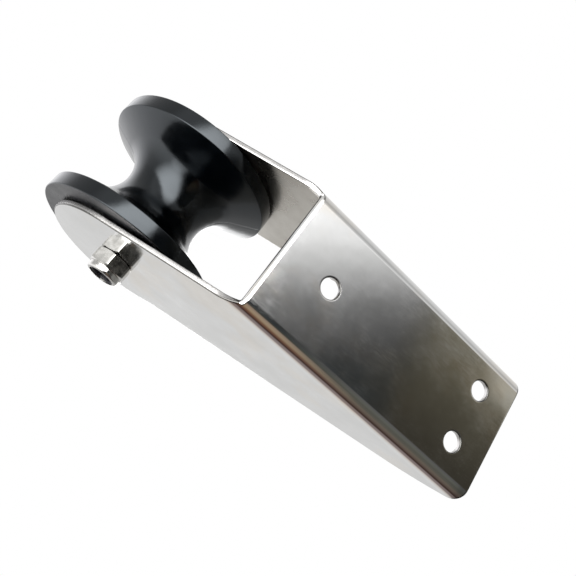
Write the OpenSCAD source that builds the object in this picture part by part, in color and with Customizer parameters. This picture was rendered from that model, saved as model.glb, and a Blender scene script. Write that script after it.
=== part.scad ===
/* [Bracket plate] */
// Length of the flat web that bolts to the deck
web_l = 103; // [95:1:120]
// Width over the outer faces of the two cheeks
bracket_w = 51; // [48:1:60]
// Thickness of the folded plate
plate_t = 2; // [1.5:0.1:2.5]
// Outer radius of the two folds
fold_r = 4.8; // [3.5:0.1:6]
// Radius of the web's tail corners, seen from above
tail_corner_r = 9; // [6:0.5:12]

/* [Deck bolt holes] */
// Diameter of the three holes, clearance for M6
deck_hole_d = 7.2; // [6.6:0.1:8]
// Distance of the front hole behind the web's front edge
front_hole_inset = 20.5; // [16:0.5:26]
// Distance from the front hole back to the rear pair
hole_row_gap = 67.5; // [50:0.5:70]
// Distance between the two rear holes
rear_hole_gap = 21.5; // [16:0.5:26]

/* [Cheeks] */
// Distance of the axle ahead of the web's front edge
axle_ahead = 34; // [30:0.5:40]
// Height of the axle above the mounting face
axle_h = 49.5; // [47:0.5:55]
// Radius of the round nose around the axle
nose_r = 26.8; // [24.5:0.1:28]
// Slope of the edge that rises from the web to the nose
deck_edge_slope = 28; // [24:0.5:30]
// Slope of the long free edge that falls from the nose to the tail
free_edge_slope = 27; // [25:0.5:28]
// Distance of the long free edge from the axle
free_edge_reach = 25; // [22:0.5:25]
// Radius of the free edge's run down to the tail
tail_run_r = 85; // [70:5:95]
// Distance of the start of that run ahead of the tail
tail_run_x = 24.5; // [22:0.5:27]

/* [Roller] */
// Diameter over the flanges
roller_d = 66.6; // [60:0.2:68]
// Length over the flange end faces
roller_l = 45; // [42:0.2:45.2]
// Diameter at the bottom of the groove
waist_d = 32; // [28:0.5:36]
// Radius of the groove's bottom
groove_r = 14; // [12:0.5:16]
// Angle of the groove's straight flanks to the axle
flank_angle = 65; // [60:1:68]
// Rounding of the flange edges
rim_edge_r = 0.4; // [0.3:0.1:1.8]

/* [Axle] */
// Nominal diameter of the axle bolt
bolt_d = 8; // [7.8:0.05:8]
// Length of the bolt under its head
bolt_l = 57; // [56:0.5:58.5]
// Diameter of the bolt's holes in the cheeks
axle_hole_d = 8.4; // [8.2:0.1:9]
// Outer diameter of the sleeve that the roller turns on
sleeve_d = 12; // [11:0.5:14]
// Radial clearance between the roller and the sleeve
running_gap = 0.075; // [0.05:0.005:0.1]
// Outer diameter of the thrust washers
washer_d = 26; // [20:0.5:30]
// Thickness of the thrust washers
washer_t = 0.8; // [0.6:0.05:0.85]

/* [Hex parts] */
// Width across the flats of the bolt head and the lock nut
hex_af = 13; // [12.6:0.1:13.2]
// Height of the bolt head
head_h = 5.3; // [5:0.1:5.6]
// Height of the lock nut over its collar
nut_h = 8; // [7.6:0.1:8.2]
// Height of the lock nut's hexagon
nut_hex_h = 5.7; // [5.4:0.1:6]
// Outer diameter of the lock nut's collar
collar_d = 12.4; // [12:0.1:12.6]
// Diameter of the collar's open mouth
mouth_d = 10.6; // [10.2:0.1:11]

/* [Hidden] */
$fn = 96;
eps = 0.01;
clear = 0.05;        // gap between parts that slide together
tail_x = -web_l / 2;
front_x = web_l / 2;
front_hole_x = front_x - front_hole_inset;
rear_hole_x = front_hole_x - hole_row_gap;
axle_x = front_x + axle_ahead;
cheek_out = bracket_w / 2;
cheek_in = cheek_out - plate_t;
washer_y = (roller_l / 2 + cheek_in) / 2; // the washers float midway between the roller and the cheeks
tail_corner_lift = 2.5; // how far the tail corner's rounding runs up the cheek
far_past = 200;      // larger than any part, for cutting shapes
roller_r = roller_d / 2;
waist_r = waist_d / 2;
nut_y = -cheek_out;
insert_seat_h = 5.3; // height in the nut where the nylon ring sits
insert_h = 2.2;
insert_od = 11;
hex_corner_d = hex_af / cos(30);
chamfer_slope = 30;  // of the chamfered hex corners
nut_turn = 39;       // how the nut and the head came to rest on their thread
head_turn = 12;

// Turns a shape drawn along +Z so that it lies on the axle's line, with its +Z towards -Y or +Y
module on_axle(y, towards = 1) {
    translate([axle_x, y, axle_h]) rotate([-90 * towards, 0, 0]) children();
}

// Filled cross-section of the channel, with both lower corners rounded
module channel_block(half_w, bottom, r) {
    translate([-half_w, bottom + r]) square([2 * half_w, far_past]);
    translate([-half_w + r, bottom]) square([2 * (half_w - r), far_past]);
    for (side = [-1, 1]) translate([side * (half_w - r), bottom + r]) circle(r);
}

// The folded plate as one long channel
module channel() {
    translate([tail_x, 0, 0]) rotate([90, 0, 90]) linear_extrude(2 * far_past) difference() {
        channel_block(cheek_out, 0, fold_r);
        channel_block(cheek_in, plate_t, fold_r - plate_t);
    }
}

// Side view of the plate, X to the right and Z up
module side_outline() {
    deck_tangent = [axle_x + nose_r * sin(deck_edge_slope), axle_h - nose_r * cos(deck_edge_slope)];
    deck_start_z = deck_tangent[1] - (deck_tangent[0] - front_x) * tan(deck_edge_slope);
    free_foot = [axle_x - free_edge_reach * sin(free_edge_slope),
                 axle_h + free_edge_reach * cos(free_edge_slope)];
    run_start_x = tail_x + tail_run_x;
    run_start = [run_start_x, free_foot[1] - (free_foot[0] - run_start_x) * tan(free_edge_slope)];
    run_centre = [run_start[0] + tail_run_r * sin(free_edge_slope),
                  run_start[1] - tail_run_r * cos(free_edge_slope)];
    translate([tail_x, 0]) square([web_l, plate_t]);
    translate([axle_x, axle_h]) circle(nose_r);
    polygon([run_start, [run_start[0], 0], [front_x, 0], [front_x, deck_start_z], deck_tangent, free_foot]);
    intersection() {
        translate(run_centre) circle(tail_run_r);
        translate([tail_x, 0]) square([tail_run_x + eps, run_start[1]]);
    }
}

// Plan view of the plate, with the two tail corners rounded
module plan_outline() {
    straight = cheek_out - tail_corner_r + tail_corner_lift;
    translate([tail_x, -straight]) square([far_past, 2 * straight]);
    translate([tail_x + tail_corner_r, -bracket_w]) square([far_past, 2 * bracket_w]);
    for (side = [-1, 1]) translate([tail_x + tail_corner_r, side * straight]) circle(tail_corner_r);
}

module bracket() {
    color("gainsboro") difference() {
        intersection() {
            channel();
            translate([0, far_past / 2, 0]) rotate([90, 0, 0]) linear_extrude(far_past) side_outline();
            translate([0, 0, -eps]) linear_extrude(far_past) plan_outline();
        }
        translate([front_hole_x, 0, -plate_t]) cylinder(h = 3 * plate_t, d = deck_hole_d);
        for (side = [-1, 1])
            translate([rear_hole_x, side * rear_hole_gap / 2, -plate_t])
                cylinder(h = 3 * plate_t, d = deck_hole_d);
        on_axle(-bracket_w) cylinder(h = 2 * bracket_w, d = axle_hole_d);
    }
}

// Points of a round corner: centre, radius, first and last angle
function arc(c, r, a0, a1, n = 4) =
    [for (i = [0 : n]) let (a = a0 + (a1 - a0) * i / n) [c[0] + r * cos(a), c[1] + r * sin(a)]];

// Groove profile as radius and distance along the axle: a round bottom, then straight flanks
function groove_bottom(n = 18) =
    [for (i = [-n : n]) let (a = flank_angle * i / n)
        [waist_r + groove_r * (1 - cos(a)), groove_r * sin(a)]];

module roller() {
    half = roller_l / 2;
    bottom_edge = groove_r * sin(flank_angle);
    bottom_rise = waist_r + groove_r * (1 - cos(flank_angle));
    groove_edge = bottom_edge + (roller_r - bottom_rise) / tan(flank_angle);
    // the rim's inner corner is rounded between the flank and the rim's cylinder
    inner_y = groove_edge + rim_edge_r * tan(flank_angle / 2);
    rim = concat(arc([roller_r - rim_edge_r, inner_y], rim_edge_r, -flank_angle, 0),
                 arc([roller_r - rim_edge_r, half - rim_edge_r], rim_edge_r, 0, 90));
    mirrored_rim = [for (i = [len(rim) - 1 : -1 : 0]) [rim[i][0], -rim[i][1]]];
    bore_r = sleeve_d / 2 + running_gap;
    color("#17181b") on_axle(0) rotate_extrude()
        polygon(concat([[bore_r, half], [bore_r, -half]], mirrored_rim, groove_bottom(), rim));
}

// A hexagon with its corners chamfered at one end or both, standing on z = 0 and turned about its axis
module chamfered_hex(h, turn, both = false) {
    face_d = hex_af * 0.96;
    wide_d = hex_corner_d + 2;
    rise = (wide_d - face_d) / 2 * tan(chamfer_slope);
    intersection() {
        rotate([0, 0, turn]) cylinder(h = h, d = hex_corner_d, $fn = 6);
        if (both) cylinder(h = h, d1 = face_d, d2 = face_d + 2 * h / tan(chamfer_slope));
        union() {
            cylinder(h = h - rise, d = wide_d);
            translate([0, 0, h - rise]) cylinder(h = rise, d1 = wide_d, d2 = face_d);
        }
    }
}

module axle_bolt() {
    tip = 1;
    color("silver") {
        on_axle(cheek_out) chamfered_hex(head_h, head_turn);
        on_axle(cheek_out, -1) union() {
            cylinder(h = bolt_l - tip, d = bolt_d);
            translate([0, 0, bolt_l - tip]) cylinder(h = tip, d1 = bolt_d, d2 = bolt_d - 1.6 * tip);
        }
    }
}

module axle_sleeve() {
    color("lightgray") on_axle(-cheek_in) difference() {
        cylinder(h = 2 * cheek_in, d = sleeve_d);
        translate([0, 0, -eps]) cylinder(h = 2 * cheek_in + 2 * eps, d = bolt_d + 4 * clear);
    }
}

module thrust_washer(y) {
    color("whitesmoke") on_axle(y - washer_t / 2) difference() {
        cylinder(h = washer_t, d = washer_d);
        translate([0, 0, -eps]) cylinder(h = washer_t + 2 * eps, d = sleeve_d + 8 * clear);
    }
}

module thrust_washer_port() { thrust_washer(washer_y); }
module thrust_washer_starboard() { thrust_washer(-washer_y); }

module lock_nut() {
    crown = 1;  // height of the collar's rolled-over edge
    color("silver") on_axle(nut_y, -1) difference() {
        union() {
            chamfered_hex(nut_hex_h, nut_turn, both = true);
            cylinder(h = nut_h - crown, d = collar_d);
            translate([0, 0, nut_h - crown])
                cylinder(h = crown, d1 = collar_d, d2 = mouth_d + 0.6);
        }
        translate([0, 0, -eps]) cylinder(h = nut_h, d = bolt_d + 2 * clear);
        translate([0, 0, insert_seat_h]) cylinder(h = insert_h, d = insert_od);
        translate([0, 0, insert_seat_h + eps]) cylinder(h = nut_h, d = mouth_d);
    }
}

module lock_nut_insert() {
    color("#1d1a2e") on_axle(nut_y - insert_seat_h, -1) difference() {
        cylinder(h = insert_h, d = insert_od);
        translate([0, 0, -eps]) cylinder(h = insert_h + 2 * eps, d = bolt_d + 2 * clear);
    }
}

bracket();
roller();
axle_bolt();
axle_sleeve();
thrust_washer_port();
thrust_washer_starboard();
lock_nut();
lock_nut_insert();
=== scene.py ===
import math

import bmesh
import bpy
from mathutils import Euler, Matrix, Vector


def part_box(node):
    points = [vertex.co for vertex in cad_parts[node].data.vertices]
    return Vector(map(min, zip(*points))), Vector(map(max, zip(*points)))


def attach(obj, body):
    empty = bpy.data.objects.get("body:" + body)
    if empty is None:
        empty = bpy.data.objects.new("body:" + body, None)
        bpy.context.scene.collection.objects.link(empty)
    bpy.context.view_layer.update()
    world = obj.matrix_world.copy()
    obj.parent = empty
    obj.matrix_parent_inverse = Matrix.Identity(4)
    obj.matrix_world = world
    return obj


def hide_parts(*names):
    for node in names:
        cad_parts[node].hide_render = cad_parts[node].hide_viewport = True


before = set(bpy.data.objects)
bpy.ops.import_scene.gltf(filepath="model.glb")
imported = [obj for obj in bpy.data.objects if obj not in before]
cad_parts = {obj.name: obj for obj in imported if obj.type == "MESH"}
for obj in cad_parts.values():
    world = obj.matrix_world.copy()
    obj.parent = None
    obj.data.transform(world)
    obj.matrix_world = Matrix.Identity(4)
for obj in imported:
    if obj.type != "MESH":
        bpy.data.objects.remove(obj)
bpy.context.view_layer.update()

MM = 0.001
MADE = {}  # the materials made below, by the name of their slot


def mm_box(node):
    """Lowest and highest corner of a CAD node, in millimetres."""
    low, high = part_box(node)
    return low / MM, high / MM


# ---------------------------------------------------------------- sizes in millimetres
# read from the frame
bracket_low, bracket_high = mm_box("bracket")
roller_low, roller_high = mm_box("roller")
nut_low, nut_high = mm_box("lock_nut")
bolt_low, bolt_high = mm_box("axle_bolt")
sleeve_low, sleeve_high = mm_box("axle_sleeve")
insert_low, insert_high = mm_box("lock_nut_insert")

AXLE_X = (roller_low.x + roller_high.x) / 2
AXLE_Z = (roller_low.z + roller_high.z) / 2
ROLLER_R = (roller_high.z - roller_low.z) / 2
ROLLER_HALF = roller_high.y
HALF_WIDTH = bracket_high.y
TAIL_X = bracket_low.x
FRONT_X = -TAIL_X
NOSE_R = bracket_high.x - AXLE_X

# the plate's thickness, fold and rounded edges
PLATE_T = 2.0
FOLD_R = 4.8
EDGE_R = 0.4
FRONT_EDGE_R = 1.3
HOLE_EDGE_R = 0.35

# flat pattern: x along the bracket, s across it, with the folds rolled out on the plate's middle
FLAT_HALF = HALF_WIDTH - FOLD_R
FOLD_LENGTH = (FOLD_R - PLATE_T / 2) * math.pi / 2
CHEEK_S = FLAT_HALF + FOLD_LENGTH
S_OF_Z = CHEEK_S - FOLD_R
AXLE_S = AXLE_Z + S_OF_Z
DECK_SLOPE = math.radians(28)
FREE_SLOPE = math.radians(27)
FREE_REACH = 25.0
TAIL_CORNER_R = 9.0
TAIL_RUN_R = 85.0
TAIL_RUN_X = 24.5
NOSE_BLEND_R = 25.0
FRONT_NOTCH_R = 1.0
DECK_HOLE_R = 3.6
AXLE_HOLE_R = 4.2
FRONT_HOLE_X = FRONT_X - 20.5
REAR_HOLE_X = FRONT_HOLE_X - 67.5
REAR_HOLE_Y = 10.75


# ---------------------------------------------------------------- mesh helpers
def finish_mesh(name, bm, material_names, smooth_angle=40):
    """Turns a bmesh in millimetres into a shown object in metres."""
    bmesh.ops.remove_doubles(bm, verts=bm.verts, dist=1e-4)
    bmesh.ops.recalc_face_normals(bm, faces=bm.faces)
    for v in bm.verts:
        v.co *= MM
    mesh = bpy.data.meshes.new(name)
    bm.to_mesh(mesh)
    bm.free()
    for m in material_names:
        mesh.materials.append(MADE[m])
    for p in mesh.polygons:
        p.use_smooth = True
    mesh.set_sharp_from_angle(angle=math.radians(smooth_angle))
    obj = bpy.data.objects.new(name, mesh)
    bpy.context.scene.collection.objects.link(obj)
    return obj


def arc(centre, radius, start, end, count, outward=1):
    """Points of an arc with the outline's outward normal at each one; outward is -1 on a hollow arc."""
    made = []
    for i in range(count + 1):
        a = start + (end - start) * i / count
        n = Vector((math.cos(a), math.sin(a)))
        made.append((Vector(centre) + n * radius, n * outward))
    return made


def on_axle(radius, turn, y):
    """A point at a radius and an angle round the axle."""
    return Vector((AXLE_X + radius * math.cos(turn), y, AXLE_Z + radius * math.sin(turn)))


def turned(name, rings, turns, material_names, material_of=None):
    """A closed solid of rings round the axle: each ring is a function from the angle to (radius, y)."""
    bm = bmesh.new()
    rows = []
    for ring in rings:
        row = []
        for turn in turns:
            radius, y = ring(turn)
            row.append(bm.verts.new(on_axle(radius, turn, y)))
        rows.append(row)
    for r in range(len(rows)):
        a, b = rows[r], rows[(r + 1) % len(rows)]
        for i in range(len(turns)):
            j = (i + 1) % len(turns)
            face = bm.faces.new((a[i], a[j], b[j], b[i]))
            if material_of:
                face.material_index = material_of(r)
    return finish_mesh(name, bm, material_names)


def plain(radius, y):
    """A round ring."""
    return lambda turn: (radius, y)


def full_turn(count):
    return [2 * math.pi * i / count for i in range(count)]


def round_corner(centre, radius, start, end, count):
    """Profile points (radius, y) of a rounded corner, by angles from the outward direction towards +Y."""
    made = []
    for i in range(count + 1):
        a = math.radians(start + (end - start) * i / count)
        made.append((centre[0] + radius * math.cos(a), centre[1] + radius * math.sin(a)))
    return made


# ---------------------------------------------------------------- materials
def new_material(name):
    material = bpy.data.materials.new(name + "_look")
    MADE[name] = material
    material.use_nodes = True
    tree = material.node_tree
    return material, tree, tree.nodes["Principled BSDF"]


def coordinates(tree, scale=(1, 1, 1), rotation=(0, 0, 0)):
    """Object coordinates in metres, stretched by scale and turned."""
    where = tree.nodes.new("ShaderNodeTexCoord")
    mapping = tree.nodes.new("ShaderNodeMapping")
    mapping.inputs["Scale"].default_value = scale
    mapping.inputs["Rotation"].default_value = rotation
    tree.links.new(where.outputs["Object"], mapping.inputs["Vector"])
    return mapping.outputs["Vector"]


def noise(tree, vector, scale, detail=3.0, roughness=0.5):
    node = tree.nodes.new("ShaderNodeTexNoise")
    node.inputs["Scale"].default_value = scale
    node.inputs["Detail"].default_value = detail
    node.inputs["Roughness"].default_value = roughness
    tree.links.new(vector, node.inputs["Vector"])
    return node.outputs["Fac"]


def ramp(tree, value, stops):
    """Colour ramp; stops are (position, colour) with a grey given as one number."""
    node = tree.nodes.new("ShaderNodeValToRGB")
    elements = node.color_ramp.elements
    while len(elements) < len(stops):
        elements.new(0.5)
    for element, (position, colour) in zip(elements, stops):
        element.position = position
        grey = isinstance(colour, (int, float))
        element.color = (colour, colour, colour, 1) if grey else (*colour, 1)
    tree.links.new(value, node.inputs["Fac"])
    return node.outputs["Color"]


def maths(tree, operation, *values):
    """A Math node; each value is a number or a socket."""
    node = tree.nodes.new("ShaderNodeMath")
    node.operation = operation
    for socket, value in zip(node.inputs, values):
        if isinstance(value, (int, float)):
            socket.default_value = value
        else:
            tree.links.new(value, socket)
    return node.outputs["Value"]


def span(tree, value, low, high, to_low=0.0, to_high=1.0, kind="SMOOTHSTEP"):
    """A clamped step of the value from low to high."""
    node = tree.nodes.new("ShaderNodeMapRange")
    node.interpolation_type = kind
    for socket, number in zip(("From Min", "From Max", "To Min", "To Max"), (low, high, to_low, to_high)):
        node.inputs[socket].default_value = number
    tree.links.new(value, node.inputs["Value"])
    return node.outputs["Result"]


def mix(tree, factor, a, b):
    """A blend of two colours, each a socket or three numbers."""
    node = tree.nodes.new("ShaderNodeMix")
    node.data_type = "RGBA"
    tree.links.new(factor, node.inputs[0])
    for socket, value in ((6, a), (7, b)):
        if isinstance(value, tuple):
            node.inputs[socket].default_value = (*value, 1)
        else:
            tree.links.new(value, node.inputs[socket])
    return node.outputs[2]


def bump(tree, height, distance, strength=1.0, normal=None):
    node = tree.nodes.new("ShaderNodeBump")
    node.inputs["Strength"].default_value = strength
    node.inputs["Distance"].default_value = distance
    tree.links.new(height, node.inputs["Height"])
    if normal is not None:
        tree.links.new(normal, node.inputs["Normal"])
    return node.outputs["Normal"]


def axle_distance(tree):
    """Distance from the axle's line, in metres."""
    where = tree.nodes.new("ShaderNodeTexCoord")
    parts = tree.nodes.new("ShaderNodeSeparateXYZ")
    tree.links.new(where.outputs["Object"], parts.inputs["Vector"])
    x = maths(tree, "SUBTRACT", parts.outputs["X"], AXLE_X * MM)
    z = maths(tree, "SUBTRACT", parts.outputs["Z"], AXLE_Z * MM)
    squares = maths(tree, "ADD", maths(tree, "MULTIPLY", x, x), maths(tree, "MULTIPLY", z, z))
    return maths(tree, "SQRT", squares)


def make_polished_steel():
    """Mirror-polished plate: faint smears, wandering buffing lines and a slightly wavy surface."""
    material, tree, shader = new_material("polished_steel")
    everywhere = coordinates(tree)
    along = coordinates(tree, scale=(0.12, 1, 1), rotation=(0, 0, math.radians(8)))
    smears = noise(tree, everywhere, 55, 6, 0.62)
    lines = noise(tree, along, 1900, 2, 0.6)
    clouds = noise(tree, coordinates(tree, scale=(0.7, 1, 1)), 34, 5, 0.6)
    clear = ramp(tree, smears, [(0.30, (0.77, 0.77, 0.76)), (0.7, (0.86, 0.86, 0.855))])
    warm = ramp(tree, smears, [(0.30, (0.80, 0.75, 0.68)), (0.7, (0.86, 0.82, 0.76))])
    colour = mix(tree, span(tree, clouds, 0.50, 0.66, 0, 0.7), clear, warm)
    tree.links.new(colour, shader.inputs["Base Color"])
    shader.inputs["Metallic"].default_value = 1
    smeared = span(tree, smears, 0.36, 0.66, 0.06, 0.13)
    lined = span(tree, lines, 0.35, 0.7, -0.015, 0.02)
    tree.links.new(maths(tree, "ADD", smeared, lined), shader.inputs["Roughness"])
    waves = noise(tree, everywhere, 38, 3, 0.5)
    wavy = bump(tree, waves, 0.00006, 1.0)
    tree.links.new(bump(tree, lines, 0.0000012, 0.5, wavy), shader.inputs["Normal"])


def make_mill_steel():
    """The plate's inner faces, left as rolled: satin, warmer, with a soft mottle and faint streaks."""
    material, tree, shader = new_material("mill_steel")
    mottle = noise(tree, coordinates(tree), 70, 5, 0.6)
    streaks = noise(tree, coordinates(tree, scale=(0.15, 1, 1)), 900, 3, 0.6)
    colour = ramp(tree, mottle, [(0.3, (0.40, 0.375, 0.335)), (0.7, (0.55, 0.53, 0.49))])
    tree.links.new(colour, shader.inputs["Base Color"])
    shader.inputs["Metallic"].default_value = 1
    tree.links.new(span(tree, mottle, 0.3, 0.7, 0.24, 0.36), shader.inputs["Roughness"])
    wavy = bump(tree, mottle, 0.00006, 0.6)
    tree.links.new(bump(tree, streaks, 0.000004, 0.5, wavy), shader.inputs["Normal"])


def make_edge_steel():
    """The broken corner round every cut, darker than the faces on either side: near-black steel as a painted
    dark reflection and shade line along the edges.
    """
    material, tree, shader = new_material("edge_steel")
    wear = noise(tree, coordinates(tree), 240, 4, 0.6)
    # near-black colours: painted dark reflection and shade along the rounded edges, not the steel's own tone
    colour = ramp(tree, wear, [(0.3, (0.07, 0.068, 0.064)), (0.7, (0.14, 0.137, 0.13))])
    tree.links.new(colour, shader.inputs["Base Color"])
    shader.inputs["Metallic"].default_value = 1
    tree.links.new(span(tree, wear, 0.3, 0.7, 0.24, 0.38), shader.inputs["Roughness"])
    tree.links.new(bump(tree, wear, 0.00001, 0.5), shader.inputs["Normal"])


def make_sheared_steel():
    """The plate's cut edges: brighter, softer, with short lines across the thickness."""
    material, tree, shader = new_material("sheared_steel")
    across = coordinates(tree, scale=(1, 0.25, 1))
    grain = noise(tree, across, 2600, 3, 0.6)
    wear = noise(tree, coordinates(tree), 160, 4, 0.55)
    colour = ramp(tree, wear, [(0.3, (0.44, 0.43, 0.42)), (0.7, (0.54, 0.53, 0.52))])
    tree.links.new(colour, shader.inputs["Base Color"])
    shader.inputs["Metallic"].default_value = 1
    tree.links.new(span(tree, grain, 0.3, 0.7, 0.22, 0.36), shader.inputs["Roughness"])
    tree.links.new(bump(tree, grain, 0.000006, 0.6), shader.inputs["Normal"])


def make_bolt_steel():
    """Cold-formed stainless: satin, with a fine grain and small rubs spread all over."""
    material, tree, shader = new_material("bolt_steel")
    grain = noise(tree, coordinates(tree, scale=(1, 0.3, 1)), 2400, 3, 0.6)
    rubs = noise(tree, coordinates(tree), 420, 4, 0.6)
    colour = ramp(tree, rubs, [(0.3, (0.40, 0.395, 0.375)), (0.7, (0.54, 0.53, 0.51))])
    tree.links.new(colour, shader.inputs["Base Color"])
    shader.inputs["Metallic"].default_value = 1
    tree.links.new(span(tree, rubs, 0.3, 0.7, 0.14, 0.26), shader.inputs["Roughness"])
    tree.links.new(bump(tree, grain, 0.000008, 0.5), shader.inputs["Normal"])


def make_sleeve_steel():
    """Turned tube: fine rings along the axle."""
    material, tree, shader = new_material("sleeve_steel")
    rings = noise(tree, coordinates(tree, scale=(0.02, 1, 0.02)), 3200, 2, 0.5)
    colour = ramp(tree, rings, [(0.3, (0.52, 0.52, 0.51)), (0.7, (0.66, 0.66, 0.65))])
    tree.links.new(colour, shader.inputs["Base Color"])
    shader.inputs["Metallic"].default_value = 1
    tree.links.new(span(tree, rings, 0.3, 0.7, 0.22, 0.38), shader.inputs["Roughness"])
    tree.links.new(bump(tree, rings, 0.000006, 0.7), shader.inputs["Normal"])


def make_black_nylon():
    """Glossy moulded nylon: cloudy sheen, a soft mottle and a fine grain."""
    material, tree, shader = new_material("black_nylon")
    everywhere = coordinates(tree)
    cloud = noise(tree, everywhere, 90, 4, 0.55)
    fine = noise(tree, everywhere, 1500, 2, 0.5)
    colour = ramp(tree, cloud, [(0.3, (0.0003, 0.0007, 0.0012)), (0.7, (0.0007, 0.0014, 0.0024))])
    tree.links.new(colour, shader.inputs["Base Color"])
    tree.links.new(span(tree, cloud, 0.35, 0.68, 0.12, 0.22), shader.inputs["Roughness"])
    shader.inputs["IOR"].default_value = 1.5
    shader.inputs["Specular Tint"].default_value = (0.86, 0.94, 1.0, 1)
    shader.inputs["Specular IOR Level"].default_value = 0.42
    mottle = bump(tree, cloud, 0.00010, 0.7)
    tree.links.new(bump(tree, fine, 0.000004, 0.4, mottle), shader.inputs["Normal"])


def make_turned_nylon():
    """The roller's machined end faces: greyer, with fine concentric turning marks."""
    material, tree, shader = new_material("turned_nylon")
    ring_pitch = 0.42 * MM
    wave = maths(tree, "SINE", maths(tree, "MULTIPLY", axle_distance(tree), 2 * math.pi / ring_pitch))
    cloud = noise(tree, coordinates(tree), 120, 4, 0.6)
    colour = ramp(tree, cloud, [(0.3, (0.012, 0.0125, 0.014)), (0.7, (0.024, 0.025, 0.028))])
    tree.links.new(colour, shader.inputs["Base Color"])
    tree.links.new(span(tree, cloud, 0.3, 0.7, 0.26, 0.4), shader.inputs["Roughness"])
    shader.inputs["IOR"].default_value = 1.53
    tree.links.new(bump(tree, wave, 0.000012, 0.8), shader.inputs["Normal"])


def make_washer_nylon():
    """Natural nylon washer: off-white with a faint cloud."""
    material, tree, shader = new_material("washer_nylon")
    cloud = noise(tree, coordinates(tree), 260, 4, 0.5)
    colour = ramp(tree, cloud, [(0.3, (0.66, 0.65, 0.60)), (0.7, (0.76, 0.75, 0.71))])
    tree.links.new(colour, shader.inputs["Base Color"])
    tree.links.new(span(tree, cloud, 0.3, 0.7, 0.42, 0.58), shader.inputs["Roughness"])
    tree.links.new(bump(tree, cloud, 0.00001, 0.4), shader.inputs["Normal"])


def make_insert_nylon():
    """Dark violet-black locking ring with a faint cloud all over."""
    material, tree, shader = new_material("insert_nylon")
    cloud = noise(tree, coordinates(tree), 900, 4, 0.6)
    colour = ramp(tree, cloud, [(0.3, (0.001, 0.0008, 0.002)), (0.7, (0.003, 0.0022, 0.006))])
    tree.links.new(colour, shader.inputs["Base Color"])
    tree.links.new(span(tree, cloud, 0.3, 0.7, 0.3, 0.5), shader.inputs["Roughness"])
    shader.inputs["Specular IOR Level"].default_value = 0.3
    tree.links.new(bump(tree, cloud, 0.00003, 0.5), shader.inputs["Normal"])


make_polished_steel()
make_mill_steel()
make_edge_steel()
make_sheared_steel()
make_bolt_steel()
make_sleeve_steel()
make_black_nylon()
make_turned_nylon()
make_washer_nylon()
make_insert_nylon()


# ---------------------------------------------------------------- bracket: a flat plate, cut and then folded
FINISHES = ["polished_steel", "sheared_steel", "mill_steel", "edge_steel"]
# the fourth finish is painted shade: near-black edge_steel for the dark reflection along the rounded edges
POLISHED, SHEARED, MILL, PAINTED_DARK_EDGE = range(4)
ROUND_STEPS = 5
CUT_ROW = ROUND_STEPS + 1  # the row of a rim that is the straight cut, between its two roundings
RIM_SUPPORT = 0.35
FOLD_STEPS = 16
FOLD_SUPPORT = 0.3


def half_outline():
    """The flat pattern's edge on one side, from the web's front edge round the cheek to the tail."""
    along = Vector((math.cos(FREE_SLOPE), math.sin(FREE_SLOPE)))
    up = Vector((-math.sin(FREE_SLOPE), math.cos(FREE_SLOPE)))
    axle = Vector((AXLE_X, AXLE_S))
    # the deck edge touches the nose and runs straight down to the web's front corner
    touch = axle + NOSE_R * Vector((math.sin(DECK_SLOPE), -math.cos(DECK_SLOPE)))
    corner_s = touch.y - (touch.x - FRONT_X) * math.tan(DECK_SLOPE)
    notch = Vector((FRONT_X + FRONT_NOTCH_R,
                    corner_s - FRONT_NOTCH_R * (1 - math.sin(DECK_SLOPE)) / math.cos(DECK_SLOPE)))
    # a hollow blend joins the nose to the long free edge
    reach = NOSE_R + NOSE_BLEND_R
    lift = FREE_REACH + NOSE_BLEND_R
    blend = axle + up * lift - along * math.sqrt(reach ** 2 - lift ** 2)
    to_blend = math.atan2(blend.y - axle.y, blend.x - axle.x)
    free_normal = math.pi / 2 + FREE_SLOPE
    # the free edge runs down to the tail on a long arc, then round the corner
    foot = axle + up * FREE_REACH
    run_x = TAIL_X + TAIL_RUN_X
    run_start = Vector((run_x, foot.y - (foot.x - run_x) * math.tan(FREE_SLOPE)))
    run = run_start - up * TAIL_RUN_R
    join = math.acos((TAIL_X + TAIL_CORNER_R - run.x) / (TAIL_RUN_R - TAIL_CORNER_R))
    corner = run + (TAIL_RUN_R - TAIL_CORNER_R) * Vector((math.cos(join), math.sin(join)))
    edge = arc(notch, FRONT_NOTCH_R, math.pi, math.pi / 2 + DECK_SLOPE, 6, -1)
    edge += arc(axle, NOSE_R, DECK_SLOPE - math.pi / 2, to_blend, 84)
    edge += arc(blend, NOSE_BLEND_R, to_blend + math.pi, free_normal + math.pi, 10, -1)
    edge += arc(run, TAIL_RUN_R, free_normal, join, 16)
    edge += arc(corner, TAIL_CORNER_R, join, math.pi, 12)
    return edge


def full_outline():
    """Both sides, with the points where two arcs meet kept once."""
    half = []
    for point, normal in half_outline():
        if not half or (point - half[-1][0]).length > 1e-3:
            half.append((point, normal))
    other = [(Vector((p.x, -p.y)), Vector((n.x, -n.y))) for p, n in reversed(half)]
    return half + other


def hole_outline(x, s, radius):
    return [(p, -n) for p, n in arc((x, s), radius, 0, 2 * math.pi, 64)[:-1]]


def edge_radius(point, normal, edge_r):
    """The web's front edge is rounded over further; the change happens in the front notches."""
    if abs(point.y) > CHEEK_S or point.x < FRONT_X - 0.1:
        return edge_r
    share = min(1.0, max(0.0, (normal.x - 0.6) / 0.4))
    return edge_r + (FRONT_EDGE_R - edge_r) * share


def rim_section(outer_r, inner_r):
    """(inset, depth) points down a rounded plate edge, from the outer face to the inner face."""
    steps = [i * math.pi / (2 * ROUND_STEPS) for i in range(ROUND_STEPS + 1)]
    top = [(outer_r * (1 - math.sin(a)), outer_r * (1 - math.cos(a))) for a in steps]
    bottom = [(inner_r * (1 - math.sin(a)), PLATE_T - inner_r * (1 - math.cos(a))) for a in reversed(steps)]
    return [(outer_r + RIM_SUPPORT, 0)] + top + bottom + [(inner_r + RIM_SUPPORT, PLATE_T)]


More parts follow.
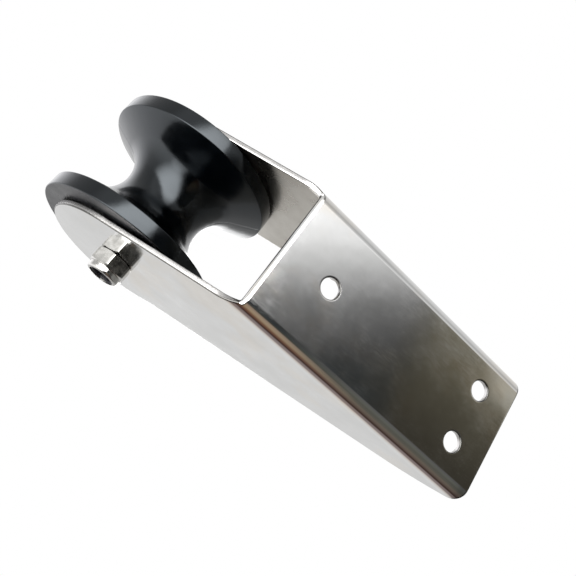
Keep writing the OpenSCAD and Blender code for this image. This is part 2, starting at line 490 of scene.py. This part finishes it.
def rim_finish(row, outer_r):
    """Round the wide front edge polished, then painted dark; on every other edge painted dark, then sheared.
    The painted dark rows are a painted dark reflection and shade line.
    """
    if row in (0, CUT_ROW * 2):
        return POLISHED
    if outer_r > EDGE_R + 0.3:
        return POLISHED if row < ROUND_STEPS else PAINTED_DARK_EDGE
    return PAINTED_DARK_EDGE if row < CUT_ROW else SHEARED


def add_rim(bm, outline, edge_r):
    """Skins one edge of the flat plate and returns its rings on the outer and the inner face."""
    radii = [edge_radius(p, n, edge_r) for p, n in outline]
    sections = [rim_section(r, EDGE_R) for r in radii]
    rings = []
    for row in range(len(sections[0])):
        ring = []
        for (p, n), section in zip(outline, sections):
            inset, depth = section[row]
            ring.append(bm.verts.new((*(p - n * inset), depth)))
        rings.append(ring)
    for r in range(len(rings) - 1):
        for i in range(len(outline)):
            j = (i + 1) % len(outline)
            face = bm.faces.new((rings[r][i], rings[r][j], rings[r + 1][j], rings[r + 1][i]))
            face.material_index = rim_finish(r, min(radii[i], radii[j]))
    return rings[0], rings[-1]


def ring_edges(bm, ring):
    return [bm.edges.get((ring[i], ring[(i + 1) % len(ring)])) for i in range(len(ring))]


def folded(x, s, depth):
    """Where a point of the flat plate lies once both folds are made."""
    side, a = (1 if s >= 0 else -1), abs(s)
    if a <= FLAT_HALF:
        y, z = a, depth
    elif a < CHEEK_S:
        turn = (a - FLAT_HALF) / FOLD_LENGTH * math.pi / 2
        y = FLAT_HALF + (FOLD_R - depth) * math.sin(turn)
        z = FOLD_R - (FOLD_R - depth) * math.cos(turn)
    else:
        y, z = HALF_WIDTH - depth, a - S_OF_Z
    return Vector((x, side * y, z))


def cut_plate(bm):
    """The flat plate with its outline and holes, each edge rounded, and both faces filled."""
    edges = [(full_outline(), EDGE_R)]
    edges += [(hole_outline(FRONT_HOLE_X, 0, DECK_HOLE_R), HOLE_EDGE_R)]
    edges += [(hole_outline(REAR_HOLE_X, s, DECK_HOLE_R), HOLE_EDGE_R) for s in (-REAR_HOLE_Y, REAR_HOLE_Y)]
    edges += [(hole_outline(AXLE_X, s, AXLE_HOLE_R), HOLE_EDGE_R) for s in (-AXLE_S, AXLE_S)]
    outer, inner = [], []
    for outline, edge_r in edges:
        first, last = add_rim(bm, outline, edge_r)
        outer += ring_edges(bm, first)
        inner += ring_edges(bm, last)
    bmesh.ops.triangle_fill(bm, edges=outer, use_beauty=True, normal=(0, 0, -1))
    bmesh.ops.triangle_fill(bm, edges=inner, use_beauty=True, normal=(0, 0, 1))


def make_bracket():
    bm = bmesh.new()
    cut_plate(bm)
    rows = [FLAT_HALF - FOLD_SUPPORT]
    rows += [FLAT_HALF + FOLD_LENGTH * i / FOLD_STEPS for i in range(FOLD_STEPS + 1)]
    rows += [CHEEK_S + FOLD_SUPPORT]
    for s in [-r for r in rows] + rows:
        everything = bm.verts[:] + bm.edges[:] + bm.faces[:]
        bmesh.ops.bisect_plane(bm, geom=everything, dist=1e-5, plane_co=(0, s, 0), plane_no=(0, 1, 0))
    for face in bm.faces:
        if all(abs(v.co.z - PLATE_T) < 1e-4 for v in face.verts):
            face.material_index = MILL
    for v in bm.verts:
        v.co = folded(*v.co)
    bracket = finish_mesh("bracket_plate", bm, FINISHES, 50)
    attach(bracket, "bracket")
    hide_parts("bracket")


make_bracket()


# ---------------------------------------------------------------- roller
WAIST_R = 16.0
GROOVE_R = 14.0
FLANK = math.radians(65)
RIM_EDGE_R = 0.4
BORE_R = 6.075
BORE_EDGE = 0.5
TURN_STEPS = 240
PARTING_TURNS = (math.radians(14), math.radians(194))
PARTING_HALF_WIDTH = 0.25
PARTING_DEPTH = 0.14


def groove_profile():
    """The round bottom of the groove, from its middle to where the straight flank begins."""
    turns = [FLANK * i / 36 for i in range(37)]
    return [(WAIST_R + GROOVE_R * (1 - math.cos(a)), GROOVE_R * math.sin(a)) for a in turns]


def flank_points(start, end):
    return [tuple(Vector(start).lerp(Vector(end), i / 5)) for i in range(1, 5)]


def roller_profile():
    """Half profile from the middle of the groove out to the bore's mouth, as (radius, y)."""
    bottom = groove_profile()
    last = bottom[-1]
    edge_y = last[1] + (ROLLER_R - last[0]) / math.tan(FLANK)
    inner = round_corner((ROLLER_R - RIM_EDGE_R, edge_y + RIM_EDGE_R * math.tan(FLANK / 2)),
                         RIM_EDGE_R, -math.degrees(FLANK), 0, 7)
    outer = round_corner((ROLLER_R - RIM_EDGE_R, ROLLER_HALF - RIM_EDGE_R), RIM_EDGE_R, 0, 90, 7)
    face = [(r, ROLLER_HALF) for r in (ROLLER_R - RIM_EDGE_R - 0.4, 24.0, 14.0, BORE_R + BORE_EDGE)]
    bore = [(BORE_R, ROLLER_HALF - BORE_EDGE)]
    return bottom + flank_points(last, inner[0]) + inner + outer + face + bore


def roller_turns():
    """Angles round the roller, closer together beside the two parting lines."""
    step = 2 * math.pi / TURN_STEPS
    turns = [i * step for i in range(TURN_STEPS)]
    for line in PARTING_TURNS:
        turns = [t for t in turns if abs(t - line) > step * 0.8]
        turns += [line + d for d in (-0.0192, -0.0108, -0.0054, 0, 0.0054, 0.0108, 0.0192)]
    return sorted(turns)


def parted(radius, y):
    """A round ring, let in at the parting lines wherever the mould shaped it."""
    moulded = radius > BORE_R + BORE_EDGE and abs(y) < ROLLER_HALF - RIM_EDGE_R

    def ring(turn):
        if not moulded:
            return radius, y
        away = min(abs(turn - line) for line in PARTING_TURNS) * radius
        return radius - PARTING_DEPTH * max(0.0, 1 - (away / PARTING_HALF_WIDTH) ** 2), y
    return ring


def make_roller():
    half = roller_profile()
    profile = [(r, -y) for r, y in reversed(half[1:])] + half
    flat_from = ROLLER_HALF - 0.01

    def is_face(row):
        a, b = profile[row], profile[(row + 1) % len(profile)]
        return 1 if abs(a[1]) > flat_from and abs(b[1]) > flat_from else 0

    finishes = ["black_nylon", "turned_nylon"]
    roller = turned("nylon_roller", [parted(*p) for p in profile], roller_turns(), finishes, is_face)
    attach(roller, "roller")
    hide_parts("roller")


make_roller()


# ---------------------------------------------------------------- bolt, nut, sleeve and washers
HEX_AF = 13.0
HEX_EDGE_R = 0.5
HEX_FACE_R = HEX_AF * 0.48
CHAMFER = math.tan(math.radians(30))
HEAD_TURN = math.radians(12)
NUT_TURN = math.radians(-80.8)
NUT_HEX_H = 5.7
SHANK_R = 4.0
THREAD_ROOT_R = 3.45
THREAD_PITCH = 1.25
THREAD_FROM = -6.0
NUT_BORE_R = 4.05
COLLAR_R = 6.2
COLLAR_ROUND = 1.15
MOUTH_R = 4.8
LIP = 0.55
INSERT_SEAT_R = 5.5
AXIS_R = 0.05  # ends that close on the axle's line stop this far from it


def hex_radius(turn, start):
    """Radius of a hexagon with rounded corners at an angle, with a corner at start."""
    sector = math.pi / 3
    off = (turn - start + sector / 2) % sector - sector / 2
    centre = (HEX_AF / 2 - HEX_EDGE_R) / math.cos(sector / 2)
    flat = HEX_AF / 2 / math.cos(sector / 2 - abs(off))
    under = HEX_EDGE_R ** 2 - (centre * math.sin(off)) ** 2
    if under <= 0:
        return flat
    return min(flat, centre * math.cos(off) + math.sqrt(under))


def hex_turns(start):
    """Angles round a hexagon, closer together at its corners."""
    beside = (-30, -24, -18, -12, -7, -4.5, -3, -1.8, -0.8, 0, 0.8, 1.8, 3, 4.5, 7, 12, 18, 24)
    made = []
    for corner in range(6):
        middle = start + corner * math.pi / 3
        made += [(middle + math.radians(d)) % (2 * math.pi) for d in beside]
    return sorted(made)


def hex_ring(start, y, shrink=1.0):
    """Ring of the hexagon, level all round."""
    return lambda turn: (hex_radius(turn, start) * shrink, y)


def chamfered_ring(start, y, towards=1):
    """Ring of the hexagon with its corners short of y; towards is the way along Y that the end faces."""
    def ring(turn):
        radius = hex_radius(turn, start)
        return radius, y - towards * max(0.0, radius - HEX_FACE_R) * CHAMFER
    return ring


def make_bolt():
    """Hex head on the port cheek, shank through the sleeve, rolled thread at the nut's end."""
    head_y = HALF_WIDTH
    top_y = bolt_high.y
    tip_y = bolt_low.y
    rings = [plain(AXIS_R, top_y - 0.25), plain(HEX_FACE_R * 0.55, top_y - 0.25)]
    rings += [plain(HEX_FACE_R * 0.62, top_y - 0.03), plain(HEX_FACE_R * 0.7, top_y)]
    rings += [plain(HEX_FACE_R - 0.3, top_y), plain(HEX_FACE_R, top_y - 0.02)]
    rings += [chamfered_ring(HEAD_TURN, top_y - 0.03), chamfered_ring(HEAD_TURN, top_y - 0.4)]
    rings += [hex_ring(HEAD_TURN, head_y + 0.5), hex_ring(HEAD_TURN, head_y + 0.12)]
    rings += [hex_ring(HEAD_TURN, head_y, shrink=0.985)]
    rings += [plain(SHANK_R + 0.4, head_y), plain(SHANK_R, head_y - 0.4), plain(SHANK_R, THREAD_FROM + 0.5)]
    for i in range(int((THREAD_FROM - tip_y - 1) / THREAD_PITCH)):
        crest = THREAD_FROM - i * THREAD_PITCH
        rings += [plain(SHANK_R, crest), plain(THREAD_ROOT_R, crest - THREAD_PITCH / 2)]
    rings += [plain(SHANK_R - 0.05, tip_y + 0.9), plain(THREAD_ROOT_R - 0.25, tip_y + 0.05)]
    rings += [plain(THREAD_ROOT_R - 0.5, tip_y), plain(AXIS_R, tip_y)]
    bolt = turned("hex_bolt", rings, hex_turns(HEAD_TURN), ["bolt_steel"])
    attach(bolt, "bracket")
    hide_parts("axle_bolt")


def make_nut():
    """Lock nut: hexagon chamfered at both ends, crowned collar rolled over the nylon ring."""
    base_y = nut_high.y
    top_y = nut_low.y
    hex_top = base_y - NUT_HEX_H
    rings = [plain(NUT_BORE_R, base_y - 0.6), plain(NUT_BORE_R + 0.6, base_y)]
    rings += [plain(HEX_FACE_R - 0.35, base_y), plain(HEX_FACE_R - 0.05, base_y - 0.01)]
    rings += [chamfered_ring(NUT_TURN, base_y - 0.02), chamfered_ring(NUT_TURN, base_y - 0.45)]
    rings += [chamfered_ring(NUT_TURN, hex_top + 0.45, -1), chamfered_ring(NUT_TURN, hex_top + 0.02, -1)]
    rings += [plain(HEX_FACE_R + 0.05, hex_top), plain(COLLAR_R + 0.25, hex_top - 0.02)]
    rings += [plain(COLLAR_R + 0.02, hex_top - 0.12), plain(COLLAR_R, hex_top - 0.35)]
    crown = round_corner((COLLAR_R - COLLAR_ROUND, 0), COLLAR_ROUND, 0, 62, 6)
    rings += [plain(r, top_y + COLLAR_ROUND - y - 0.02) for r, y in crown]
    rings += [plain(MOUTH_R + 0.28, top_y + 0.03), plain(MOUTH_R + 0.14, top_y)]
    rings += [plain(MOUTH_R, top_y + 0.06), plain(MOUTH_R - 0.02, top_y + LIP)]
    rings += [plain(MOUTH_R + 0.15, top_y + LIP + 0.3)]
    rings += [plain(INSERT_SEAT_R, insert_high.y - 0.3), plain(INSERT_SEAT_R, insert_high.y)]
    rings += [plain(NUT_BORE_R, insert_high.y)]
    nut = turned("lock_nut_body", rings, hex_turns(NUT_TURN), ["bolt_steel"])
    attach(nut, "bracket")
    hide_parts("lock_nut")


def make_insert():
    """The nylon ring in the nut's collar, dished where the thread enters it."""
    base_y = insert_high.y
    top_y = insert_low.y
    outer_r = INSERT_SEAT_R - 0.05
    rings = [plain(NUT_BORE_R, base_y), plain(outer_r, base_y), plain(outer_r, top_y + 0.2)]
    rings += [plain(outer_r - 0.2, top_y), plain(4.5, top_y + 0.02), plain(4.12, top_y + 0.25)]
    rings += [plain(4.03, top_y + 0.6)]
    insert = turned("nylon_locking_ring", rings, full_turn(96), ["insert_nylon"])
    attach(insert, "bracket")
    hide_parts("lock_nut_insert")


def make_tube(name, node, inner_r, outer_r, low_y, high_y, edge, material):
    """A turned ring or tube with small chamfers on its four edges."""
    profile = [(inner_r, low_y + edge), (inner_r + edge, low_y)]
    profile += [(outer_r - edge, low_y), (outer_r, low_y + edge)]
    profile += [(outer_r, high_y - edge), (outer_r - edge, high_y)]
    profile += [(inner_r + edge, high_y), (inner_r, high_y - edge)]
    tube = turned(name, [plain(*p) for p in profile], full_turn(128), [material])
    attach(tube, "bracket")
    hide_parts(node)


make_bolt()
make_nut()
make_insert()
SLEEVE_R = sleeve_high.z - AXLE_Z
make_tube("steel_sleeve", "axle_sleeve", 4.1, SLEEVE_R, sleeve_low.y, sleeve_high.y, 0.25, "sleeve_steel")
for side_name in ("port", "starboard"):
    washer_low, washer_high = mm_box("thrust_washer_" + side_name)
    washer_r = washer_high.z - AXLE_Z
    make_tube("side_washer_" + side_name, "thrust_washer_" + side_name, 6.2, washer_r,
              washer_low.y, washer_high.y, 0.12, "washer_nylon")


# ---------------------------------------------------------------- studio
# The polished steel mirrors a room, so the room is drawn by direction. x, y and z are the direction's parts,
# u and v are how far ahead and to port it lands on a level one unit below, and level is its angle round the
# bracket's length in degrees: -90 straight down, 0 starboard, 90 straight up, 180 port.
def tinted(tree, value, stops, low, high):
    """Colour ramp whose stops are given in the value's own units."""
    scaled = [((at - low) / (high - low), colour) for at, colour in stops]
    return ramp(tree, span(tree, value, low, high, kind="LINEAR"), scaled)


def weighted(tree, a, weight_a, b, weight_b):
    """Sum of two values, each times its weight."""
    return maths(tree, "ADD", maths(tree, "MULTIPLY", a, weight_a), maths(tree, "MULTIPLY", b, weight_b))


def light_below(tree, u, v):
    """The floor as the web sees it: dark near the tail, a pale card coming in ahead and to port."""
    card = [(-12, (0.030, 0.034, 0.036)), (1, (0.040, 0.044, 0.046)), (8, 0.063), (20, 0.122), (28, 0.172)]
    card += [(36, 0.255), (41, 0.38), (48, 0.51), (54, 0.705), (60, 0.79), (66, 0.99), (78, 1.15)]
    ahead = tinted(tree, weighted(tree, u, 173.3, v, 208.0), card, -12, 88)
    floor = [(0.37, (0.042, 0.038, 0.029)), (0.47, (0.075, 0.068, 0.050))]
    floor += [(0.58, (0.145, 0.132, 0.095)), (0.66, (0.40, 0.38, 0.33))]
    astern = tinted(tree, v, floor, 0.3, 0.7)
    tail_corner = maths(tree, "MULTIPLY", span(tree, u, -0.70, -0.79), span(tree, v, 0.52, 0.59))
    astern = mix(tree, tail_corner, astern, (0.46, 0.44, 0.38))
    return mix(tree, span(tree, u, -0.62, -0.5), astern, ahead)


def light_around(tree, x, level):
    """Bands that the folds draw out into lines, warmer ahead than astern, with unlit room on either side of
    them and grey far astern."""
    port = [(-180, 0.72), (-169, 0.72), (-157, 0.62), (-145, 0.46), (-133, 0.62), (-124, 0.8)]
    ahead = [(-106, 0.04), (-88, (0.029, 0.034, 0.038)), (-73, (0.056, 0.056, 0.048))]
    ahead += [(-64, (0.33, 0.25, 0.19)), (-45, (0.37, 0.28, 0.18)), (-31, (0.206, 0.108, 0.07))]
    astern = [(-106, 0.11), (-88, (0.122, 0.125, 0.11)), (-73, (0.10, 0.10, 0.085))]
    astern += [(-59, (0.11, 0.105, 0.088)), (-45, (0.15, 0.125, 0.10)), (-31, (0.128, 0.098, 0.082))]
    starboard = [(-12, (0.04, 0.02, 0.016)), (-2, (0.256, 0.206, 0.2)), (12, (0.265, 0.218, 0.21))]
    starboard += [(26, (0.70, 0.644, 0.6)), (40, 0.74), (60, 0.78), (72, 0.70), (90, 0.80)]
    starboard += [(118, 1.1), (140, 1.1), (155, 0.92), (167, 0.78), (180, 0.72)]
    unlit = [(-180, 0.4), (-150, 0.12), (-124, 0.06), (-106, 0.02), (-20, 0.012), (12, 0.016)]
    unlit += [(26, 0.12), (40, 0.70), (72, 0.72), (90, 0.80), (118, 1.0), (180, 0.4)]
    front = tinted(tree, level, port + ahead + starboard, -180, 180)
    back = tinted(tree, level, port + astern + starboard, -180, 180)
    dark = tinted(tree, level, unlit, -180, 180)
    bands = mix(tree, span(tree, x, -0.46, -0.25), back, front)
    beside = maths(tree, "ADD", span(tree, x, -0.21, -0.12), span(tree, x, -0.59, -0.63))
    banded = mix(tree, beside, bands, dark)
    return mix(tree, span(tree, x, -0.68, -0.80), banded, (0.36, 0.36, 0.35))


def light_ahead(tree, y, z):
    """The whole space ahead is pale, brightest low to starboard and overhead."""
    low = tinted(tree, y, [(-0.85, 2.6), (-0.4, 1.6), (0.0, 1.25), (0.6, 1.2)], -1, 1)
    facing = tinted(tree, y, [(-0.85, 2.4), (-0.4, 1.2), (0.0, 0.78), (0.6, 0.74)], -1, 1)
    forward = mix(tree, span(tree, z, -0.5, -0.25), low, facing)
    return mix(tree, span(tree, z, 0.2, 0.7), forward, (1.9, 1.9, 1.95))


def soft_box(tree, x, y, z, u):
    """A soft light under the roller, cut off where the web and the far cheek's edge would mirror it."""
    glow = span(tree, weighted(tree, x, 0.35, z, -0.935), 0.45, 0.97, 0, 8.0)
    glow = maths(tree, "MULTIPLY", glow, span(tree, u, -0.22, -0.10))
    glow = maths(tree, "MULTIPLY", glow, span(tree, weighted(tree, x, 1, y, 0.45), -0.2, 0.08))
    return maths(tree, "MULTIPLY", glow, span(tree, maths(tree, "ADD", x, y), 1.0, 0.78))


def room_light(tree):
    """Colour of the room in every direction."""
    where = tree.nodes.new("ShaderNodeTexCoord")
    parts = tree.nodes.new("ShaderNodeSeparateXYZ")
    tree.links.new(where.outputs["Generated"], parts.inputs["Vector"])
    x, y, z = (parts.outputs[a] for a in "XYZ")
    down = maths(tree, "MAXIMUM", maths(tree, "MULTIPLY", z, -1), 0.05)
    u = maths(tree, "DIVIDE", x, down)
    v = maths(tree, "DIVIDE", y, down)
    level = maths(tree, "DEGREES", maths(tree, "ARCTAN2", z, maths(tree, "MULTIPLY", y, -1)))
    under_web = maths(tree, "MULTIPLY", span(tree, v, 0.24, 0.36), span(tree, v, 0.74, 0.62))
    colour = mix(tree, under_web, light_around(tree, x, level), light_below(tree, u, v))
    colour = mix(tree, span(tree, x, 0.04, 0.56), colour, light_ahead(tree, y, z))
    total = tree.nodes.new("ShaderNodeVectorMath")
    total.operation = "ADD"
    tree.links.new(colour, total.inputs[0])
    tree.links.new(soft_box(tree, x, y, z, u), total.inputs[1])
    return total.outputs["Vector"]


def make_studio():
    """White backdrop, with the room for everything but the camera's own rays."""
    world = bpy.data.worlds.new("studio")
    bpy.context.scene.world = world
    world.use_nodes = True
    tree = world.node_tree
    backdrop = tree.nodes["Background"]
    backdrop.inputs["Color"].default_value = (1, 1, 1, 1)
    room = tree.nodes.new("ShaderNodeBackground")
    tree.links.new(room_light(tree), room.inputs["Color"])
    chooser = tree.nodes.new("ShaderNodeMixShader")
    light_path = tree.nodes.new("ShaderNodeLightPath")
    tree.links.new(light_path.outputs["Is Camera Ray"], chooser.inputs["Fac"])
    tree.links.new(room.outputs["Background"], chooser.inputs[1])
    tree.links.new(backdrop.outputs["Background"], chooser.inputs[2])
    tree.links.new(chooser.outputs["Shader"], tree.nodes["World Output"].inputs["Surface"])


def make_floor():
    """Plain pale floor, well below the object and the camera."""
    half = 3000
    depth = -600
    bm = bmesh.new()
    corners = [bm.verts.new((a * half, b * half, depth)) for a, b in ((-1, -1), (1, -1), (1, 1), (-1, 1))]
    bm.faces.new(corners)
    material, tree, shader = new_material("pale_floor")
    shade = noise(tree, coordinates(tree), 3, 2, 0.5)
    colour = ramp(tree, shade, [(0.3, 0.80), (0.7, 0.84)])
    tree.links.new(colour, shader.inputs["Base Color"])
    shader.inputs["Roughness"].default_value = 0.9
    floor = finish_mesh("floor", bm, ["pale_floor"])
    floor.visible_glossy = False


def make_light(name, location, target, size, power):
    data = bpy.data.lights.new(name, "AREA")
    data.shape = "DISK"
    data.size = size
    data.energy = power
    data.specular_factor = 0.2
    lamp = bpy.data.objects.new(name, data)
    lamp.location = location
    lamp.rotation_euler = (target - Vector(location)).to_track_quat("-Z", "Y").to_euler()
    bpy.context.scene.collection.objects.link(lamp)


def make_camera():
    """Looks up at the web from below and to starboard of the roller."""
    data = bpy.data.cameras.new("camera")
    data.lens = 39.33
    data.sensor_width = 36
    data.clip_start = 0.005
    camera = bpy.data.objects.new("camera", data)
    camera.location = (0.09152, -0.08295, -0.17329)
    camera.rotation_euler = Euler([math.radians(a) for a in (-171.762, 25.714, 142.32)])
    bpy.context.scene.collection.objects.link(camera)
    bpy.context.scene.camera = camera


make_studio()
make_floor()
ROLLER_CENTRE = Vector((AXLE_X, 0, AXLE_Z)) * MM
make_light("key", (0.35, -0.55, -0.25), ROLLER_CENTRE, 0.35, 0.6)
make_light("top", (-0.1, 0.1, 0.8), ROLLER_CENTRE, 0.5, 1.5)
make_camera()
bpy.context.scene.view_settings.view_transform = "Standard"
